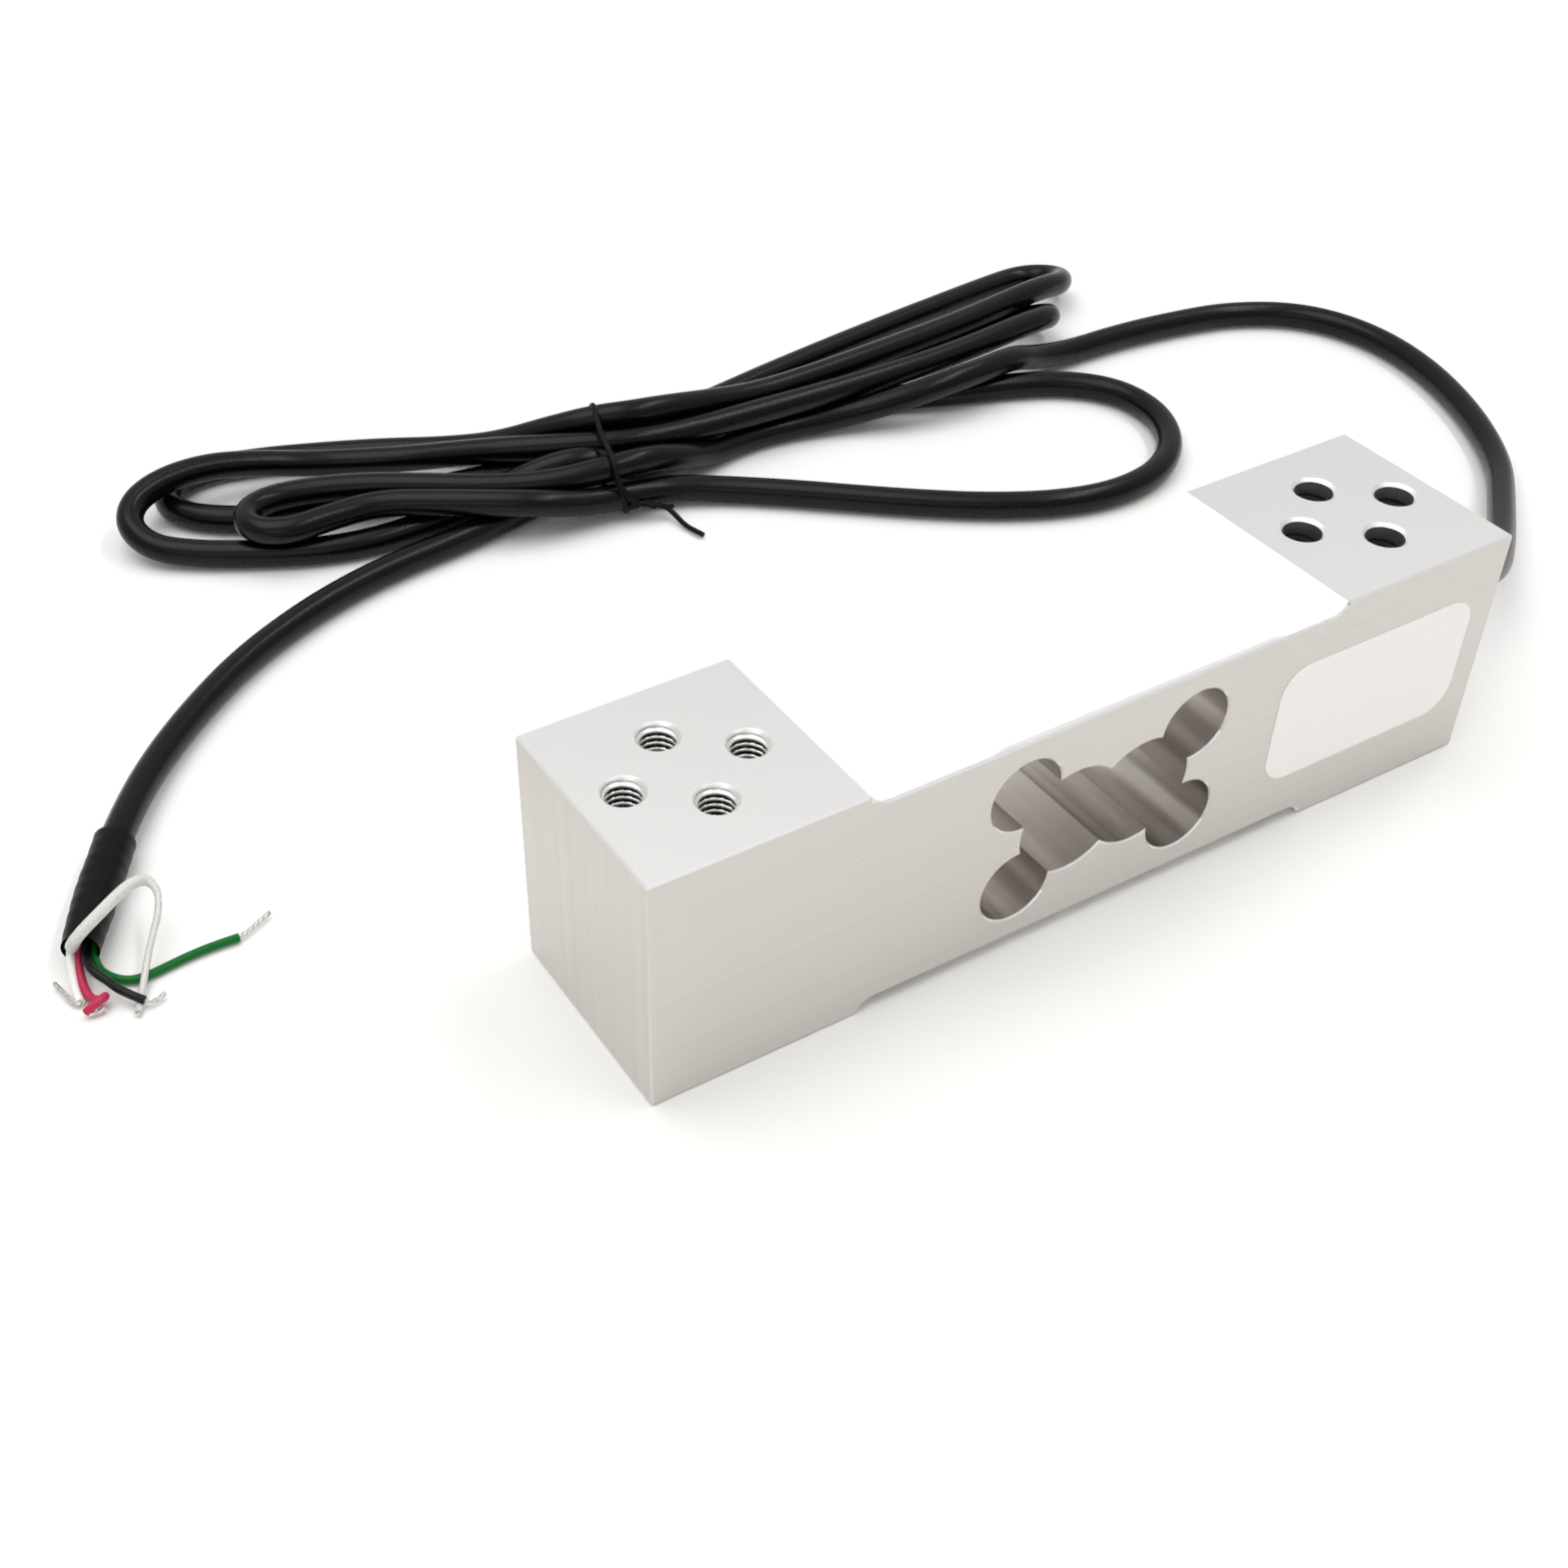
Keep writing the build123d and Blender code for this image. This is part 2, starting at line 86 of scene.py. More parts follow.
CABLE_D = 5.0
LEAD = [
    (150, 17.5, 20), (158, 17.5, 20), (168, 17.5, 16.6), (179.5, 21, 11.2),
    (191.5, 29.5, 7.6), (205.8, 41.5, 4.6), (219.8, 54, 2.6), (229.8, 71, 2.6),
    (236, 89.5, 2.6), (236.4, 106, 2.6), (230.5, 119.3, 2.6), (217.8, 127.6, 2.6),
    (203, 130.6, 2.6), (190, 132, 2.6), (178, 132, 2.6),
]
HANK_FIRST = [
    (168, 131.2, 4.4), (160, 129, 7.6), (151, 127.2, 8.2), (141.5, 127.2, 7.9),
    (131.5, 129.3, 6), (121.5, 133.8, 3.4), (110, 137, 2.6), (100, 137.4, 2.6),
    (91.5, 135.6, 3), (84, 133, 6.3), (76, 131.8, 9), (67.5, 132.4, 9),
    (57, 134.8, 8), (46.5, 139.8, 7.9), (36.5, 146.5, 7.9), (27, 152.3, 8),
    (18, 155.9, 8), (9.5, 157.4, 8), (3.9, 154.4, 8), (3.6, 148.8, 8),
    (9, 145.2, 7.9), (17.5, 146, 7.8), (27, 145.5, 7.9), (36, 140, 8),
    (44, 134.7, 8.1), (52, 130.8, 7.5), (61, 129.5, 5.2), (71, 129.4, 3.9),
    (79, 128.5, 3.4),
]
LOOP = [
    (88, 123.8, 2.6), (97.5, 116.6, 2.6), (107, 108.6, 2.6), (117.5, 100, 2.6),
    (128, 92.5, 2.6), (139.5, 86.6, 2.6), (151, 84, 2.6), (162.5, 85.8, 2.6),
    (171.5, 92.5, 2.6), (176.6, 102.5, 2.6), (176, 113.5, 2.6), (169.5, 121.6, 2.6),
    (160, 126.6, 2.6), (149.5, 129.7, 2.6),
]
HANK_SECOND = [
    (139, 134, 2.6), (128, 138.4, 2.6), (116, 142.1, 2.6), (104, 142.7, 2.6),
    (92, 141.5, 2.7), (84, 139.4, 3), (77, 137.2, 3.8), (71, 137, 6.6),
    (66, 138.3, 8.7), (59, 140.2, 8), (52, 143, 4.9), (44, 143.2, 2.7),
    (34, 142.2, 2.6), (23, 142, 2.6), (12.5, 144.8, 2.6), (2, 150.3, 2.6),
    (-6, 155.2, 2.7), (-12.3, 160, 3.4), (-14.3, 166, 5.2), (-11.6, 171, 6.8),
    (-5, 173.6, 8), (4, 174.2, 8), (13, 173, 6.6), (22, 171.4, 4.4),
    (30.5, 168.6, 3.6), (40, 162.6, 4.4), (48, 156, 6.4), (56, 149.4, 8.2),
    (65, 144.3, 8.6), (75, 139.7, 8.8), (84, 138.3, 8.3), (92, 137.8, 7.9),
    (104, 137.1, 7.9), (118, 136.2, 7.9), (132, 135.8, 7.9), (146, 135.9, 7.9),
    (158, 136.8, 8), (168, 138.2, 8), (175.5, 139.4, 7.5), (180.4, 141.8, 5.9),
    (180.6, 146.2, 3.9), (176, 148.8, 2.7), (169, 147.6, 2.6), (161, 146.2, 2.6),
    (152, 145.3, 2.6), (138, 145.8, 2.6), (124, 147.8, 2.6), (110, 148.4, 2.6),
    (99, 147.4, 2.9), (91, 146.2, 4.8), (84, 146.2, 8), (77, 147.2, 8.8),
    (71, 148.6, 5.8), (62, 149.8, 3), (50, 151, 2.6), (40, 152.8, 2.6),
    (30, 154.5, 2.6), (20, 156, 2.6), (11.5, 158.6, 2.6), (3.5, 163, 2.6),
    (-2.5, 168, 2.6), (-4.8, 174.5, 2.6), (-0.8, 180.3, 2.6), (7, 182, 2.6),
    (17, 179.6, 2.6), (28, 175.2, 2.6), (38.5, 170.5, 2.6), (48.5, 165, 2.6),
    (57, 158, 4.6), (65, 151.4, 8.7), (72, 146.2, 11.6), (79, 142.9, 12.3),
    (87, 142.4, 11.5), (96, 143, 9.6), (106, 143, 8.1), (118, 143.2, 7.9),
    (132, 144, 7.9), (148, 145.2, 7.9), (160, 146.2, 8), (171, 147.9, 8),
    (179, 149.2, 8), (185.5, 150.6, 7.4), (191, 152.4, 6), (195, 156.4, 4.4),
    (194.6, 161.6, 3.1), (189.6, 164.9, 2.6), (181, 164.4, 2.6), (168, 163, 2.6),
    (152, 161.2, 2.6), (134, 158.8, 2.6), (117, 156.2, 2.6), (104, 153.8, 2.6),
    (94, 152, 2.6), (86, 149.6, 2.8), (78, 146.2, 3.7), (70, 142.6, 3.8),
    (62, 139.8, 3), (54, 137.6, 2.6), (45, 135.6, 2.6),
]
TAIL = [
    (35, 134.2, 2.6), (25, 133, 2.6), (14, 130.6, 2.6), (2, 126.3, 2.6),
    (-11, 119.6, 2.6), (-23.5, 110.2, 2.6), (-34.5, 99.6, 2.8), (-43.3, 87.9, 3.35),
    (-49.2, 78.5, 3.35), (-54.7, 69.1, 3.35),
]
CABLE = LEAD + HANK_FIRST + LOOP + HANK_SECOND + TAIL

SLEEVE = [(-44.4, 86.1, 3.35), (-49.2, 78.5, 3.35), (-53.4, 71.6, 3.35), (-56.8, 65.5, 3.35)]

WIRE_D = 1.3
CORES = {
    "black": [
        (-54.6, 68.0, 3.2), (-56.4, 65.3, 3.0), (-56.9, 62.3, 3.0), (-56.3, 60.1, 2.7),
        (-55.3, 58.5, 2.2), (-54.7, 56.6, 2.1), (-53.4, 54.5, 1.9), (-51.9, 53.1, 1.2),
    ],
    "red": [
        (-56.2, 67.9, 2.5), (-57.7, 64.6, 2.2), (-58.2, 62.4, 1.4), (-58.5, 60.1, 0.8),
        (-58.3, 57.8, 0.75), (-57.3, 56.6, 1.0), (-56.3, 56.5, 1.6), (-57.4, 55.5, 2.2),
        (-58.9, 55.4, 1.6), (-59.8, 55.5, 0.9),
    ],
    "white": [
        (-57.4, 68.6, 2.8), (-58.5, 65.5, 2.6), (-59.2, 62.8, 1.4), (-59.8, 60.2, 0.7),
        (-59.8, 58.0, 0.7),
    ],
    "green": [
        (-53.6, 68.4, 2.4), (-55.1, 65.7, 2.0), (-55.4, 64.3, 1.3), (-55.3, 62.8, 0.7),
        (-54.7, 61.2, 0.7), (-53.8, 59.8, 0.7), (-52.5, 58.7, 0.7), (-50.9, 58.2, 0.7),
        (-48.3, 58.3, 0.7), (-43.9, 58.9, 0.7), (-39.3, 59.1, 0.7), (-35.6, 58.8, 0.7),
    ],
}

SHIELD_D = 1.8
SHIELD_THIN_D = 1.05
SHIELD_THIN_FROM = 8
SHIELD = [
    (-55.6, 68.6, 4.3), (-57.8, 65.2, 4.4), (-58.3, 63.6, 6.4), (-56.2, 63.9, 8.0),
    (-53.4, 65.0, 8.8), (-50.5, 66.8, 9.0), (-47.2, 69.0, 8.8), (-44.6, 70.1, 7.8),
    (-43.6, 68.1, 6.8), (-44.8, 65.1, 5.4), (-46.8, 62.6, 4.0), (-48.7, 60.2, 2.6),
    (-50.6, 57.1, 1.4), (-52.4, 54.1, 0.6), (-53.4, 52.0, 0.55),
]
TIPS = {
    "black": [
        (-52.4, 53.6, 1.4), (-51.5, 52.9, 1.0), (-50.8, 52.7, 0.8), (-49.9, 53.0, 0.7),
        (-48.9, 53.5, 0.7),
    ],
    "red": [(-59.6, 55.4, 0.9), (-59.4, 54.9, 0.7), (-58.2, 54.9, 0.7), (-57.0, 55.0, 0.7)],
    "white": [
        (-59.9, 58.6, 0.7), (-59.8, 57.6, 0.7), (-60.5, 58.2, 0.7), (-61.1, 60.0, 0.7),
        (-61.8, 63.6, 0.7),
    ],
    "green": [(-36.6, 58.8, 0.7), (-34.9, 58.9, 0.7), (-32.6, 60.0, 0.7), (-29.8, 61.4, 0.7)],
    "drain": SHIELD[SHIELD_THIN_FROM:] + [(-53.6, 51.6, 0.55)],
}

TIE_D = 1.1
TIE_END_D = TIE_D * 0.9
TIE_TURN = [
    (72.4, 149.6, 6), (72.9, 148.9, 11), (72.5, 146.6, 14.6), (71.4, 143.6, 14.3),
    (70.4, 140, 12.4), (69.2, 135.5, 12.1), (68.2, 131.6, 12.1), (67.6, 128.9, 9.6),
    (67.7, 127.4, 6.4), (68.6, 126.9, 2.6), (69.6, 129.5, 0.65), (70.6, 138, 0.65),
    (71.6, 146, 0.65), (72.2, 150.4, 1.4), (72.4, 151.9, 4), (72.4, 150.6, 7.6),
]
TIE_END_LONG = [
    (67.6, 128.2, 8.4), (68.3, 126.6, 6.2), (70.0, 126.3, 4.4), (71.4, 125.2, 3.6),
    (73.0, 125.7, 3.2), (74.6, 124.4, 2.8), (76.0, 124.6, 2.0), (76.5, 122.2, 1.2),
    (76.7, 119.4, 0.7), (77.3, 116.9, 0.7), (77.9, 114.9, 0.7),
]
TIE_END_SHORT = [
    (68.6, 127.0, 3.2), (69.6, 125.6, 3.4), (71.4, 126.4, 3.9), (73.0, 124.6, 3.0),
    (74.6, 125.6, 2.5), (75.8, 124.2, 2.4), (76.9, 124.4, 2.2),
]


# Curves and meshes

SAME_POINT = 1e-7


def add_piece(name, data):
    """New piece of the part from a curve or mesh, tied to its one body."""
    piece = bpy.data.objects.new(name, data)
    bpy.context.collection.objects.link(piece)
    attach(piece, "root")
    return piece


def route_curve(name, points, diameter, sides=8, steps=10):
    """Round cord on one smooth spline with the route's points as its control points."""
    data = bpy.data.curves.new(name, "CURVE")
    data.dimensions = "3D"
    data.resolution_u = steps
    data.bevel_depth = 1.0 if diameter else 0.0
    data.bevel_resolution = sides
    data.use_fill_caps = True
    spline = data.splines.new("NURBS")
    spline.points.add(len(points) - 1)
    for target, point in zip(spline.points, points):
        target.co = (*at(point), 1.0)
        target.radius = diameter / 2 * MM
    spline.order_u = 3
    spline.use_endpoint_u = True
    return add_piece(name, data)


def centreline(points, steps):
    """Points read from the route's own spline, in metres."""
    piece = route_curve("line", points, 0.0, steps=steps)
    bpy.context.view_layer.update()
    mesh = bpy.data.meshes.new_from_object(piece)
    line = np.array([v.co[:] for v in mesh.vertices])
    bpy.data.meshes.remove(mesh)
    bpy.data.objects.remove(piece)
    return line


def step_lengths(line):
    return np.linalg.norm(np.diff(line, axis=0), axis=1)


def run_length(line):
    """Length of the line from its start to each of its points."""
    return np.concatenate([[0], np.cumsum(step_lengths(line))])


def ring_faces(index):
    """Quads between each closed ring of point numbers and the next ring."""
    right = np.roll(index, -1, axis=1)
    return np.stack([index[:-1], right[:-1], right[1:], index[1:]], axis=-1).reshape(-1, 4).tolist()


def mesh_piece(name, points, faces):
    """Piece from points and faces, with smooth quads and flat caps."""
    mesh = bpy.data.meshes.new(name)
    mesh.from_pydata(points, [], faces)
    mesh.polygons.foreach_set("use_smooth", [len(face) == 4 for face in faces])
    mesh.update()
    return add_piece(name, mesh)


def sweep(name, line, radius, columns, caps=True):
    """Tube along line; radius(s, angle) gives its radius in metres at length s and angle round it."""
    line = line[np.concatenate([[True], step_lengths(line) > SAME_POINT])]
    tangent = np.gradient(line, axis=0)
    tangent /= np.linalg.norm(tangent, axis=1)[:, None]
    side = np.cross(tangent[0], (0, 0, 1.0))
    side /= np.linalg.norm(side)
    angle = np.linspace(0, 2 * math.pi, columns, endpoint=False)
    rings = []
    for s, point, along in zip(run_length(line), line, tangent):
        side = side - along * side.dot(along)
        side /= np.linalg.norm(side)
        up = np.cross(side, along)
        r = radius(s, angle)
        rings.append(point + np.outer(r * np.cos(angle), side) + np.outer(r * np.sin(angle), up))
    index = np.arange(len(rings) * columns).reshape(-1, columns)
    faces = ring_faces(index)
    if caps:
        faces += [index[0][::-1].tolist(), index[-1].tolist()]
    return mesh_piece(name, np.concatenate(rings).tolist(), faces)


# Cable, cores and drain sleeve

cable = route_curve("signal_cable", CABLE, CABLE_D, sides=10, steps=12)
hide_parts("cable_lead", "cable_hank", "cable_loop", "cable_tail")

wires = {}
for name, route in CORES.items():
    wires[name] = route_curve(f"core_{name}", route, WIRE_D, sides=6, steps=12)
    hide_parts(f"wire_{name}")

shield = route_curve("drain_sleeve", SHIELD, SHIELD_D, sides=8, steps=14)
for point in shield.data.splines[0].points[SHIELD_THIN_FROM:]:
    point.radius = SHIELD_THIN_D / 2 * MM
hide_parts("shield_sleeve")

# Bare ends: twisted strands

BUNDLE_R = 0.3 * MM
STRANDS = 7
STRAND_SWELL = 0.13
STRAND_LAY = 7.8 * MM
BUNDLE_COLUMNS = 42


def twisted(name, line):
    """Strands: radius = bundle radius x (1 + swell x cosine), the lobes turning once in each lay."""
    def radius(s, angle):
        turn = 2 * math.pi * STRANDS * s / STRAND_LAY
        return BUNDLE_R * (1 + STRAND_SWELL * np.cos(STRANDS * angle - turn))
    return sweep(name, line, radius, BUNDLE_COLUMNS)


tips = []
for name, route in TIPS.items():
    tips.append(twisted(f"tinned_{name}", centreline(route, steps=14)))
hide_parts("tinned_tips")

# Black sleeve over the cable's end, in mm

SLEEVE_WALL = 0.72
LIP_LENGTH = 0.5
MOUTH_LENGTH = 9.0
MOUTH_FALL = 0.42
MOUTH_DEPTH = 3.4
MOUTH_RINGS = 5
RIDGE_ALONG = (0.03, 2.1)
RIDGE_ROUND = (0.035, 3, 0.6)
SLEEVE_COLUMNS = 40


def shrink_sleeve():
    """Sleeve and the wall inside its mouth: radius = the jacket's + the wall, which starts as a thin
    lip, - a fall towards the mouth, + slight ridges along and round the sleeve."""
    line = centreline(SLEEVE, steps=16)
    total = run_length(line)[-1]

    def radius(s, angle):
        lip = min(1.0, (s / (LIP_LENGTH * MM)) ** 0.5) if s > 0 else 0.0
        mouth = max(0.0, (s - total + MOUTH_LENGTH * MM) / (MOUTH_LENGTH * MM))
        ridges = RIDGE_ALONG[0] * np.sin(s / MM * RIDGE_ALONG[1])
        ridges += RIDGE_ROUND[0] * np.sin(RIDGE_ROUND[1] * angle + s / MM * RIDGE_ROUND[2])
        return (CABLE_D / 2 + SLEEVE_WALL * lip - MOUTH_FALL * mouth + ridges * lip) * MM

    def bore(s, angle):
        return CABLE_D / 2 * MM * np.ones_like(angle)

    outer = sweep("shrink_sleeve", line, radius, SLEEVE_COLUMNS, caps=False)
    inward = (line[-4] - line[-1]) / np.linalg.norm(line[-4] - line[-1])
    inside = np.linspace(line[-1], line[-1] + inward * MOUTH_DEPTH * MM, MOUTH_RINGS)
    inner = sweep("sleeve_mouth", inside, bore, SLEEVE_COLUMNS, caps=False)
    return outer, inner


sleeve, sleeve_mouth = shrink_sleeve()
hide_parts("heat_shrink_sleeve")

# Tie: its turn round the hank, and its two ends twisted round each other, one of which stands free

tie_turn = route_curve("tie_turn", TIE_TURN, TIE_D, sides=5)
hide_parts("twist_tie")
tie_ends = [
    route_curve("tie_end_long", TIE_END_LONG, TIE_END_D, sides=5),
    route_curve("tie_end_short", TIE_END_SHORT, TIE_END_D, sides=5),
]

# Threads in the tapped holes, in mm; a groove's bottom, which is painted dark as shade, is told by its place
# in the pitch, 0 to 1

BLOCK_MID = 16.25
ROW_X = 19.0
ROW_Y = 15.0
PITCH = 1.0
THREAD_DEPTH = 12.0
DEPTH_SPARE = 0.05
MAJOR_R = 2.99
MINOR_R = 2.47
FRONT_START = 0.25
BACK_START = 2.5
RIDGE_TOP = 1.35
RIDGE_SLOPE = 2.7
RIDGE_FADE = 0.5
GROOVE_FROM = 0.64
GROOVE_SPAN = 0.58
GROOVE_START = 1.3
THREAD_COLUMNS = 64
RINGS_PER_PITCH = 14


def threads(name, block, start):
    """Thread surface in each hole of a block, from above and below: the radius falls from the major
    to the minor one as a cut-off saw that climbs one pitch a turn, and starts shallow."""
    depth = np.arange(start, THREAD_DEPTH - DEPTH_SPARE, PITCH / RINGS_PER_PITCH)
    angle = np.linspace(0, 2 * math.pi, THREAD_COLUMNS, endpoint=False)
    d, a = np.meshgrid(depth, angle, indexing="ij")
    phase = (d / PITCH + a / (2 * math.pi)) % 1.0
    ridge = np.clip(RIDGE_TOP - RIDGE_SLOPE * np.abs(phase - 0.5), 0, 1)
    fade = np.clip((d - start) / RIDGE_FADE, 0, 1)
    r = MAJOR_R - (MAJOR_R - MINOR_R) * ridge * fade
    # Painted shade: deeper than GROOVE_START, the faces at the groove bottoms take the second, dark material.
    dark = ((phase - GROOVE_FROM) % 1.0 < GROOVE_SPAN) & (d > GROOVE_START)
    points = []
    faces = []
    groove = []
    places = [(block - ROW_X / 2, 0), (block + ROW_X / 2, 0), (block, -ROW_Y / 2), (block, ROW_Y / 2)]
    for above in (True, False):
        z = BAR_HEIGHT - d if above else d
        turn = -1 if above else 1
        for x, y in places:
            grid = np.stack([x + r * np.cos(a) - BAR_LENGTH / 2, y + r * np.sin(a), z], axis=-1) * MM
            faces += ring_faces(np.arange(d.size).reshape(d.shape) + len(points))
            points += grid[:, ::turn].reshape(-1, 3).tolist()
            groove += dark[:-1, ::turn].reshape(-1).astype(int).tolist()
    piece = mesh_piece(name, points, faces)
    piece.data.polygons.foreach_set("material_index", groove)
    return piece


front_threads = threads("front_hole_threads", BLOCK_MID, FRONT_START)
back_threads = threads("back_hole_threads", BAR_LENGTH - BLOCK_MID, BACK_START)


# Materials

def linear(code):
    """Linear colour from an sRGB hex code."""
    values = [int(code[i:i + 2], 16) / 255 for i in (1, 3, 5)]
    return [v / 12.92 if v <= 0.04045 else ((v + 0.055) / 1.055) ** 2.4 for v in values] + [1.0]


def feed(tree, target, value):
    """Input linked to another node's output, or set to a plain value."""
    if isinstance(value, bpy.types.NodeSocket):
        tree.links.new(value, target)
    else:
        target.default_value = value


def add_node(tree, kind, inputs=(), **settings):
    """New node with its settings, and with its inputs, by name or number, linked or set."""
    node = tree.nodes.new(kind)
    for key, value in settings.items():
        setattr(node, key, value)
    for key, value in dict(inputs).items():
        feed(tree, node.inputs[key], value)
    return node


NOISE_LOW = 0.3
NOISE_HIGH = 0.7
NOISE_ROUGHNESS = 0.55


class Surface:
    """A material and the few kinds of node that the materials here are made of."""

    def __init__(self, name, colour, roughness, metallic=0.0):
        self.material = bpy.data.materials.new(name)
        self.material.use_nodes = True
        self.tree = self.material.node_tree
        self.shade("Base Color", linear(colour))
        self.shade("Roughness", roughness)
        self.shade("Metallic", metallic)

    def shade(self, name, value):
        """An input of the shader, linked or set."""
        feed(self.tree, self.tree.nodes["Principled BSDF"].inputs[name], value)

    def add(self, kind, inputs=(), **settings):
        return add_node(self.tree, kind, inputs, **settings)

    def place(self, output="Object"):
        return self.add("ShaderNodeTexCoord").outputs[output]

    def axes(self, vector):
        """The x, y and z parts of a vector."""
        return self.add("ShaderNodeSeparateXYZ", {"Vector": vector}).outputs

    def noise(self, *scale, detail=3.0):
        """Noise with scale features per metre: one number, or one for each axis."""
        scale = scale * 3 if len(scale) == 1 else scale
        place = self.add("ShaderNodeMapping", {"Vector": self.place(), "Scale": scale}).outputs[0]
        inputs = {"Vector": place, "Scale": 1.0, "Detail": detail, "Roughness": NOISE_ROUGHNESS}
        return self.add("ShaderNodeTexNoise", inputs).outputs[0]

    def spread(self, noise, low, high):
        """The usual range of the noise spread out to low and high."""
        inputs = {"Value": noise, "From Min": NOISE_LOW, "From Max": NOISE_HIGH}
        inputs.update({"To Min": low, "To Max": high})
        return self.add("ShaderNodeMapRange", inputs).outputs[0]

    def blend(self, factor, first, second):
        inputs = {0: factor, 6: first, 7: second}
        return self.add("ShaderNodeMix", inputs, data_type="RGBA").outputs[2]

    def tint(self, factor, first, second):
        """Blend of two hex codes."""
        return self.blend(factor, linear(first), linear(second))

    def math(self, operation, first, second=0.0):
        return self.add("ShaderNodeMath", {0: first, 1: second}, operation=operation).outputs[0]

    def size(self, value):
        return self.math("ABSOLUTE", value)

    def near(self, value, middle, reach):
        """1 where value is less than reach from middle, else 0."""
        return self.math("LESS_THAN", self.size(self.math("SUBTRACT", value, middle)), reach)

    def bump(self, height, strength, distance):
        inputs = {"Height": height, "Strength": strength, "Distance": distance}
        self.shade("Normal", self.add("ShaderNodeBump", inputs).outputs[0])


# Bar: limits on the parts of the normal tell its faces, limits in metres tell the cavity

END_FACE_OVER = 0.9
TOP_FACE_OVER = 0.93
CHAMFER_MID = 0.65
CHAMFER_REACH = 0.28
WALL_UNDER = 0.5
CAVITY_HALF_X = 0.0235
CAVITY_MID_Z = 0.020
CAVITY_HALF_Z = 0.0152
CUTTER_LINES = (9.0, 4000.0, 4000.0)
END_LINES = (4000.0, 500.0, 5.0)
TOP_GRAIN = 6500.0
REAMED_LINES = (420.0, 9.0, 420.0)
REAMED_BUMP = 0.3
CAVITY_SMOOTHER = 0.1


def bar_metal():
    """Milled and clear anodised aluminium: cutter lines along the sides and up the end faces, fine grain on
    top, the tops painted lighter than the sides and end faces as painted light and shade, the chamfers at the
    holes and edges painted white as a painted highlight, and smoother cavity walls streaked across the bar."""
    m = Surface("milled_aluminium", "#DEDBD7", 0.4, metallic=1.0)
    normal = m.axes(m.place("Normal"))
    steepness = m.size(normal[2])
    end_face = m.math("GREATER_THAN", m.size(normal[0]), END_FACE_OVER)
    top_face = m.math("GREATER_THAN", steepness, TOP_FACE_OVER)
    chamfer_highlight = m.near(steepness, CHAMFER_MID, CHAMFER_REACH)
    place = m.axes(m.place())
    inside_x = m.near(place[0], 0.0, CAVITY_HALF_X)
    inside_z = m.near(place[2], CAVITY_MID_Z, CAVITY_HALF_Z)
    wall = m.near(normal[1], 0.0, WALL_UNDER)
    cavity = m.math("MULTIPLY", m.math("MULTIPLY", inside_x, inside_z), wall)
    grain = m.noise(TOP_GRAIN, detail=2.0)
    reamed = m.noise(*REAMED_LINES, detail=2.0)
    lines = m.blend(end_face, m.noise(*CUTTER_LINES), m.noise(*END_LINES))
    lines = m.blend(top_face, lines, grain)
    # Painted light and shade: one metal, but the tops get a lighter colour and the sides and end faces a
    # darker one for how the light falls; the noise within each is the grain and the cutter lines.
    side_lines_and_shade = m.tint(m.spread(lines, 0.0, 1.0), "#CDC9C4", "#D5D1CC")
    top_grain_and_light = m.tint(m.spread(grain, 0.0, 1.0), "#EAE8E6", "#F2F0EE")
    wall_colour = m.tint(m.spread(reamed, 0.0, 1.0), "#CFCAC5", "#E4E0DC")
    face_colour = m.blend(top_face, side_lines_and_shade, top_grain_and_light)
    # Painted highlight: faces that slope between top and side, the chamfers, are painted white.
    face_colour = m.blend(chamfer_highlight, face_colour, linear("#FFFFFF"))
    smoother = m.math("MULTIPLY", cavity, CAVITY_SMOOTHER)
    m.shade("Base Color", m.blend(cavity, face_colour, wall_colour))
    m.shade("Roughness", m.math("SUBTRACT", m.spread(lines, 0.38, 0.44), smoother))
    m.bump(m.blend(cavity, lines, m.math("MULTIPLY", reamed, REAMED_BUMP)), 0.12, 0.00002)
    return m.material


def thread_metal(name, colour, roughness, metallic=0.0):
    """Cut thread flank, or thread painted dark as shade: the groove bottoms in the front holes, all the
    thread in the back holes.
    """
    m = Surface(name, colour, roughness, metallic=metallic)
    noise = m.noise(3000.0, 3000.0, 9000.0)
    m.shade("Roughness", m.spread(noise, roughness - 0.04, roughness + 0.08))
    return m.material


def sealant():
    """White silicone, smooth, with faint waves left by the spatula."""
    m = Surface("white_silicone", "#FBFAF9", 0.5)
    wave = m.noise(90.0, 160.0, 90.0, detail=2.0)
    m.shade("Base Color", m.tint(wave, "#FAF9F8", "#FCFCFB"))
    m.shade("Roughness", m.spread(m.noise(1800.0, detail=2.0), 0.36, 0.5))
    m.bump(wave, 0.25, 0.0002)
    m.shade("Subsurface Weight", 0.08)
    m.shade("Subsurface Scale", 0.001)
    return m.material


def label_film():
    """Blank film label, off-white with a fine print-coat grain."""
    m = Surface("label_film", "#F4F1EE", 0.4)
    grain = m.noise(2500.0, detail=2.0)
    m.shade("Base Color", m.tint(grain, "#F8F5F2", "#FBF9F6"))
    m.shade("Roughness", m.spread(grain, 0.33, 0.44))
    m.bump(grain, 0.1, 0.00002)
    return m.material


def plastic(name, dark, light, roughness, grain=2600.0, depth=0.00003, strength=0.2, shine=0.5):
    """Moulded or extruded plastic with a fine grain and a slight change of colour."""
    m = Surface(name, light, roughness)
    noise = m.noise(grain)
    m.shade("Base Color", m.tint(m.noise(60.0, detail=2.0), dark, light))
    m.shade("Roughness", m.spread(noise, roughness - 0.05, roughness + 0.07))
    m.bump(noise, strength, depth)
    m.shade("Specular IOR Level", shine)
    return m.material


def tinned():
    """Tinned copper or solder, bright with duller spots."""
    m = Surface("tinned_copper", "#CFCCC7", 0.28, metallic=1.0)
    noise = m.noise(4000.0)
    m.shade("Base Color", m.tint(noise, "#B9B4AD", "#E2E0DC"))
    m.shade("Roughness", m.spread(noise, 0.22, 0.4))
    return m.material


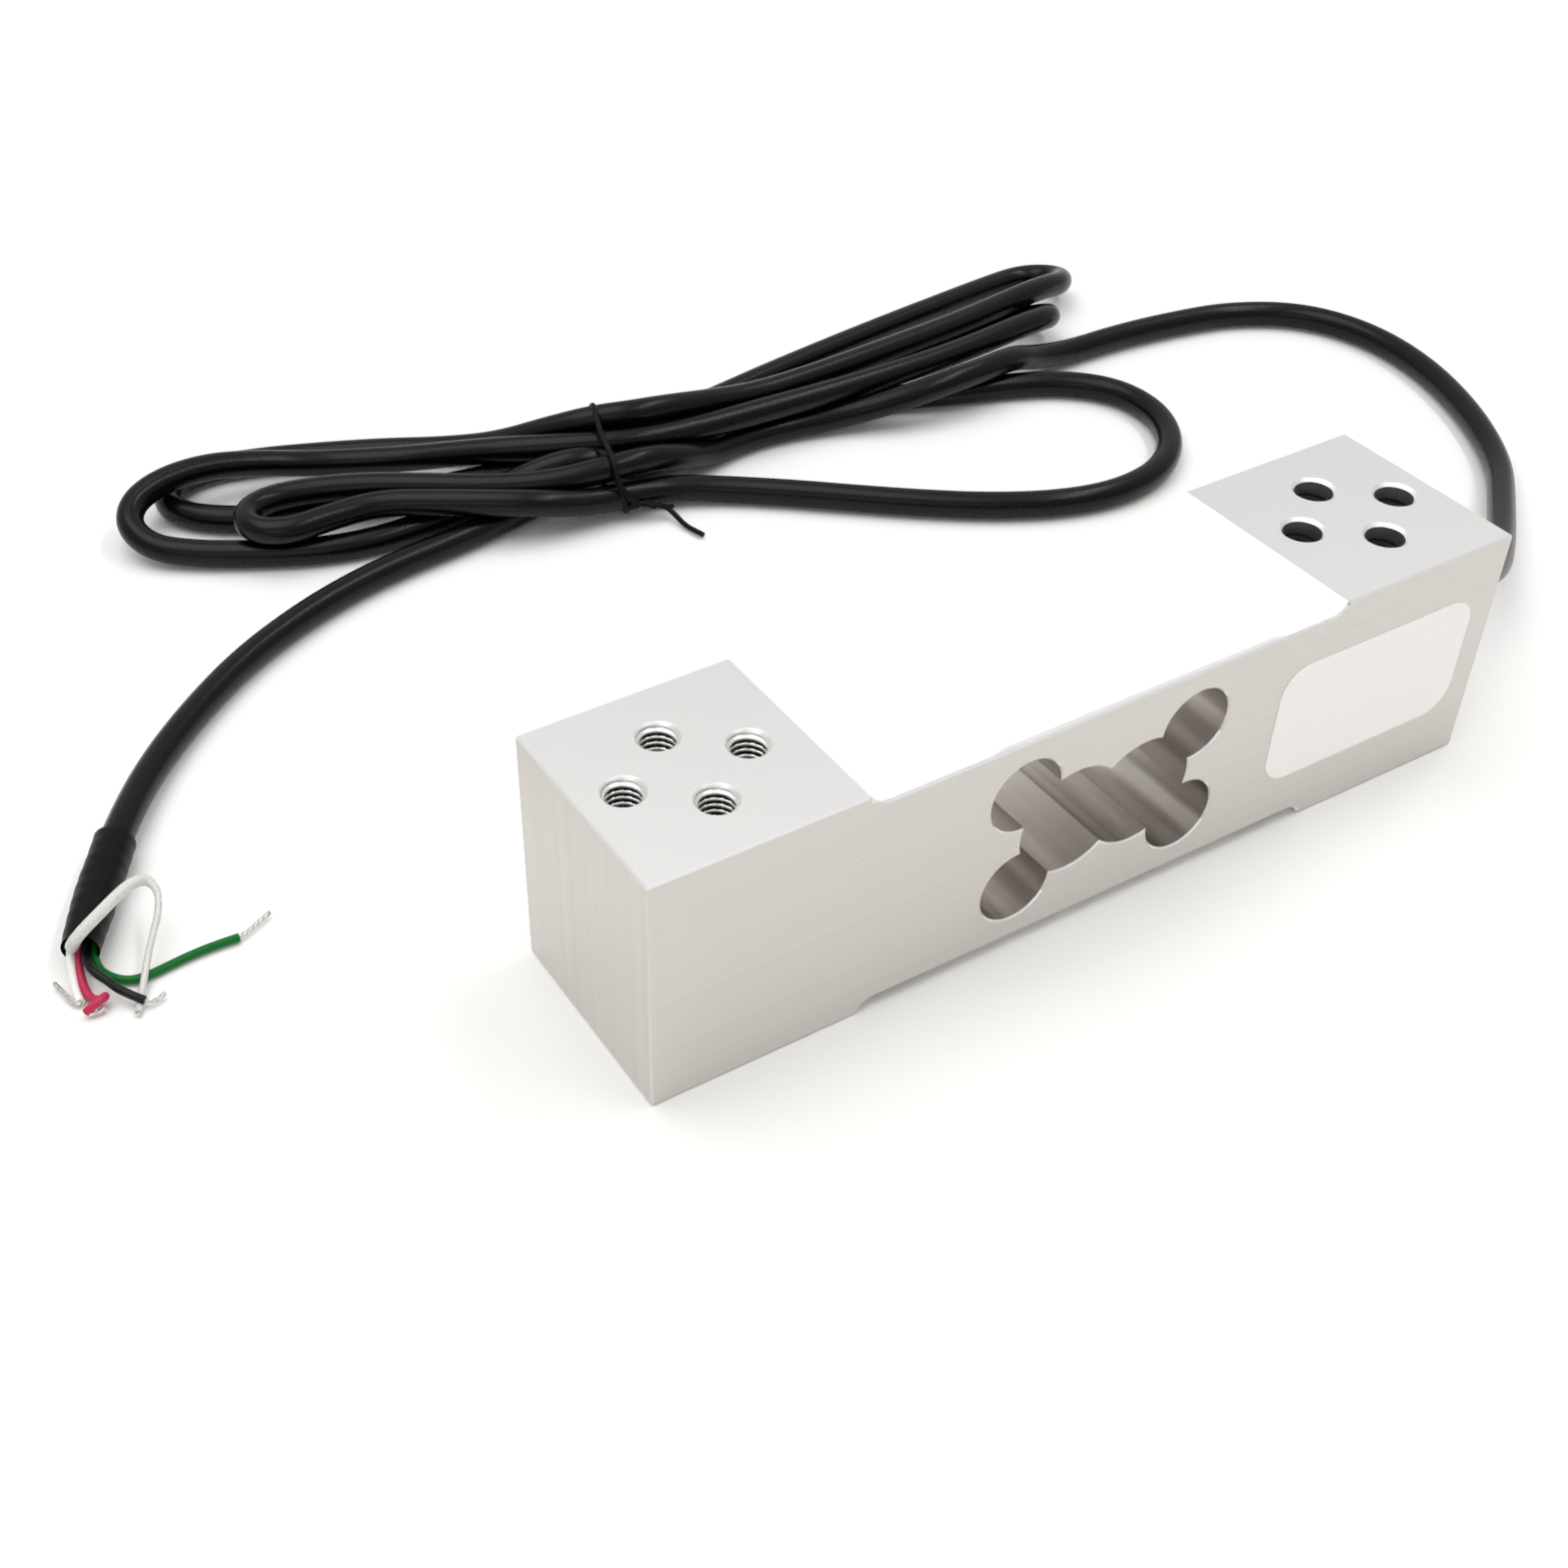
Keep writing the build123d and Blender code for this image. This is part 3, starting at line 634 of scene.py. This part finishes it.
def clear_sleeve():
    """Milky sleeve that lets some light through."""
    m = Surface("milky_sleeve", "#EDECE6", 0.25)
    noise = m.noise(900.0, detail=2.0)
    m.shade("Base Color", m.tint(noise, "#E4E3DB", "#F1F0EB"))
    m.shade("Transmission Weight", 0.3)
    m.shade("Roughness", m.spread(noise, 0.2, 0.3))
    return m.material


def dress(piece, *materials):
    """Piece in these materials; cleared only if it has some, as that sets all faces to the first."""
    if len(piece.data.materials):
        piece.data.materials.clear()
    for material in materials:
        piece.data.materials.append(material)


METAL = bar_metal()
JACKET = plastic("black_jacket", "#020203", "#050507", 0.26, shine=0.22)
SHRINK = plastic(
    "shrink_tube", "#020203", "#060608", 0.4, grain=1500.0, depth=0.00004, strength=0.25, shine=0.14,
)
TIE = plastic("tie_jacket", "#030304", "#070709", 0.36, shine=0.14)
SEALANT = sealant()
TIN = tinned()
CORE_WHITE = plastic("core_white", "#E4E3DE", "#F2F1EC", 0.35)
FOIL = plastic("gauge_foil", "#8A5A22", "#B07A38", 0.3)
BOARD = plastic("board_mask", "#14402A", "#1D5738", 0.3)

dress(nodes["beam_body"], METAL)
# The second material paints the groove bottoms dark as shade.
dress(
    front_threads, thread_metal("cut_thread", "#F4F2EF", 0.3, metallic=1.0),
    thread_metal("groove_painted_shade", "#0C0B0B", 0.8),
)
# Painted shade: the back holes' threads are painted near black all over, their groove bottoms darker still.
dress(
    back_threads, thread_metal("back_thread_painted_shade", "#0B0B0D", 0.75),
    thread_metal("back_groove_painted_shade", "#040405", 0.8),
)
for name in ("silicone_cover_top", "silicone_cover_bottom", "cable_entry_seal"):
    dress(nodes[name], SEALANT)
dress(nodes["label_sticker"], label_film())
for piece in (nodes["cable_inner"], cable):
    dress(piece, JACKET)
for piece in (sleeve, sleeve_mouth):
    dress(piece, SHRINK)
for piece in (tie_turn, *tie_ends):
    dress(piece, TIE)
for piece in tips:
    dress(piece, TIN)
dress(shield, clear_sleeve())
dress(wires["black"], plastic("core_black", "#060607", "#0F0F11", 0.32, shine=0.25))
dress(wires["red"], plastic("core_red", "#A91C40", "#C23257", 0.35, shine=0.35))
dress(wires["green"], plastic("core_green", "#065A1E", "#0A7029", 0.32, shine=0.2))
for piece in (wires["white"], nodes["core_wires_inner"]):
    dress(piece, CORE_WHITE)
for side in ("top_front", "top_back", "bottom_front", "bottom_back"):
    dress(nodes[f"strain_gauge_{side}"], FOIL)
for side in ("top", "bottom"):
    dress(nodes[f"terminal_board_{side}"], BOARD)
    dress(nodes[f"solder_joints_{side}"], TIN)
    dress(nodes[f"gauge_leads_{side}"], TIN)
dress(nodes["span_resistors"], plastic("resistor_body", "#101010", "#1D1D1D", 0.4))
dress(nodes["bridge_wires"], TIN)


# Floor, backdrop and light, in metres and watts

FLOOR_HALF = 3.0
FLOOR_DROP = 0.0002
SKY_TOWARD = (0.1, 0.45, 0.89)
SKY_FROM = -0.45
SKY_TO = 0.92
SKY_LOW = 0.35
SKY_HIGH = 0.74
BACKDROP = (0.97, 0.97, 0.96, 1.0)
LIGHTS = (
    ("overhead", (-0.25, 0.15, 0.9), (0.02, 0.05, 0.0), (0.9, 0.7), 4.1),
    ("strip", (0.42, -0.12, 0.9), (0.0, 0.08, 0.0), (0.9, 0.1), 2.5),
    ("front_fill", (-0.55, -0.6, 0.45), (0.0, 0.0, 0.02), (0.6, 0.4), 0.6),
)


def make_floor():
    """White floor just under the lowest point of the part."""
    corners = [(x * FLOOR_HALF, y * FLOOR_HALF, -FLOOR_DROP) for x, y in ((-1, -1), (1, -1), (1, 1), (-1, 1))]
    mesh = bpy.data.meshes.new("floor")
    mesh.from_pydata(corners, [], [(0, 1, 2, 3)])
    floor = bpy.data.objects.new("floor", mesh)
    bpy.context.collection.objects.link(floor)
    m = Surface("white_paper", "#F8F7F5", 0.6)
    m.shade("Base Color", m.tint(m.noise(6.0), "#F7F6F4", "#F9F8F6"))
    dress(floor, m.material)


def make_world():
    """Pale studio: a direction's light rises from low to high with its dot product with the bright
    direction, overhead and behind. The camera's own rays see the backdrop instead."""
    world = bpy.data.worlds.new("studio")
    bpy.context.scene.world = world
    world.use_nodes = True
    tree = world.node_tree
    rays = add_node(tree, "ShaderNodeLightPath")
    place = add_node(tree, "ShaderNodeTexCoord")
    toward = add_node(
        tree, "ShaderNodeVectorMath", {0: place.outputs["Generated"], 1: SKY_TOWARD},
        operation="DOT_PRODUCT",
    )
    rise = add_node(tree, "ShaderNodeMapRange", {
        "Value": toward.outputs["Value"], "From Min": SKY_FROM, "From Max": SKY_TO,
        "To Min": SKY_LOW, "To Max": SKY_HIGH,
    })
    seen = add_node(
        tree, "ShaderNodeMix", {0: rays.outputs["Is Camera Ray"], 6: rise.outputs[0], 7: BACKDROP},
        data_type="RGBA",
    )
    feed(tree, tree.nodes["Background"].inputs["Color"], seen.outputs[2])
    feed(tree, tree.nodes["Background"].inputs["Strength"], 1.0)


def make_light(name, place, target, size, power):
    data = bpy.data.lights.new(name, "AREA")
    data.shape = "RECTANGLE"
    data.size, data.size_y = size
    data.energy = power
    light = bpy.data.objects.new(name, data)
    bpy.context.collection.objects.link(light)
    light.location = place
    direction = Vector(target) - Vector(place)
    light.rotation_euler = direction.to_track_quat("-Z", "Y").to_euler()


make_floor()
make_world()
for light in LIGHTS:
    make_light(*light)

bpy.context.scene.view_settings.view_transform = "Standard"
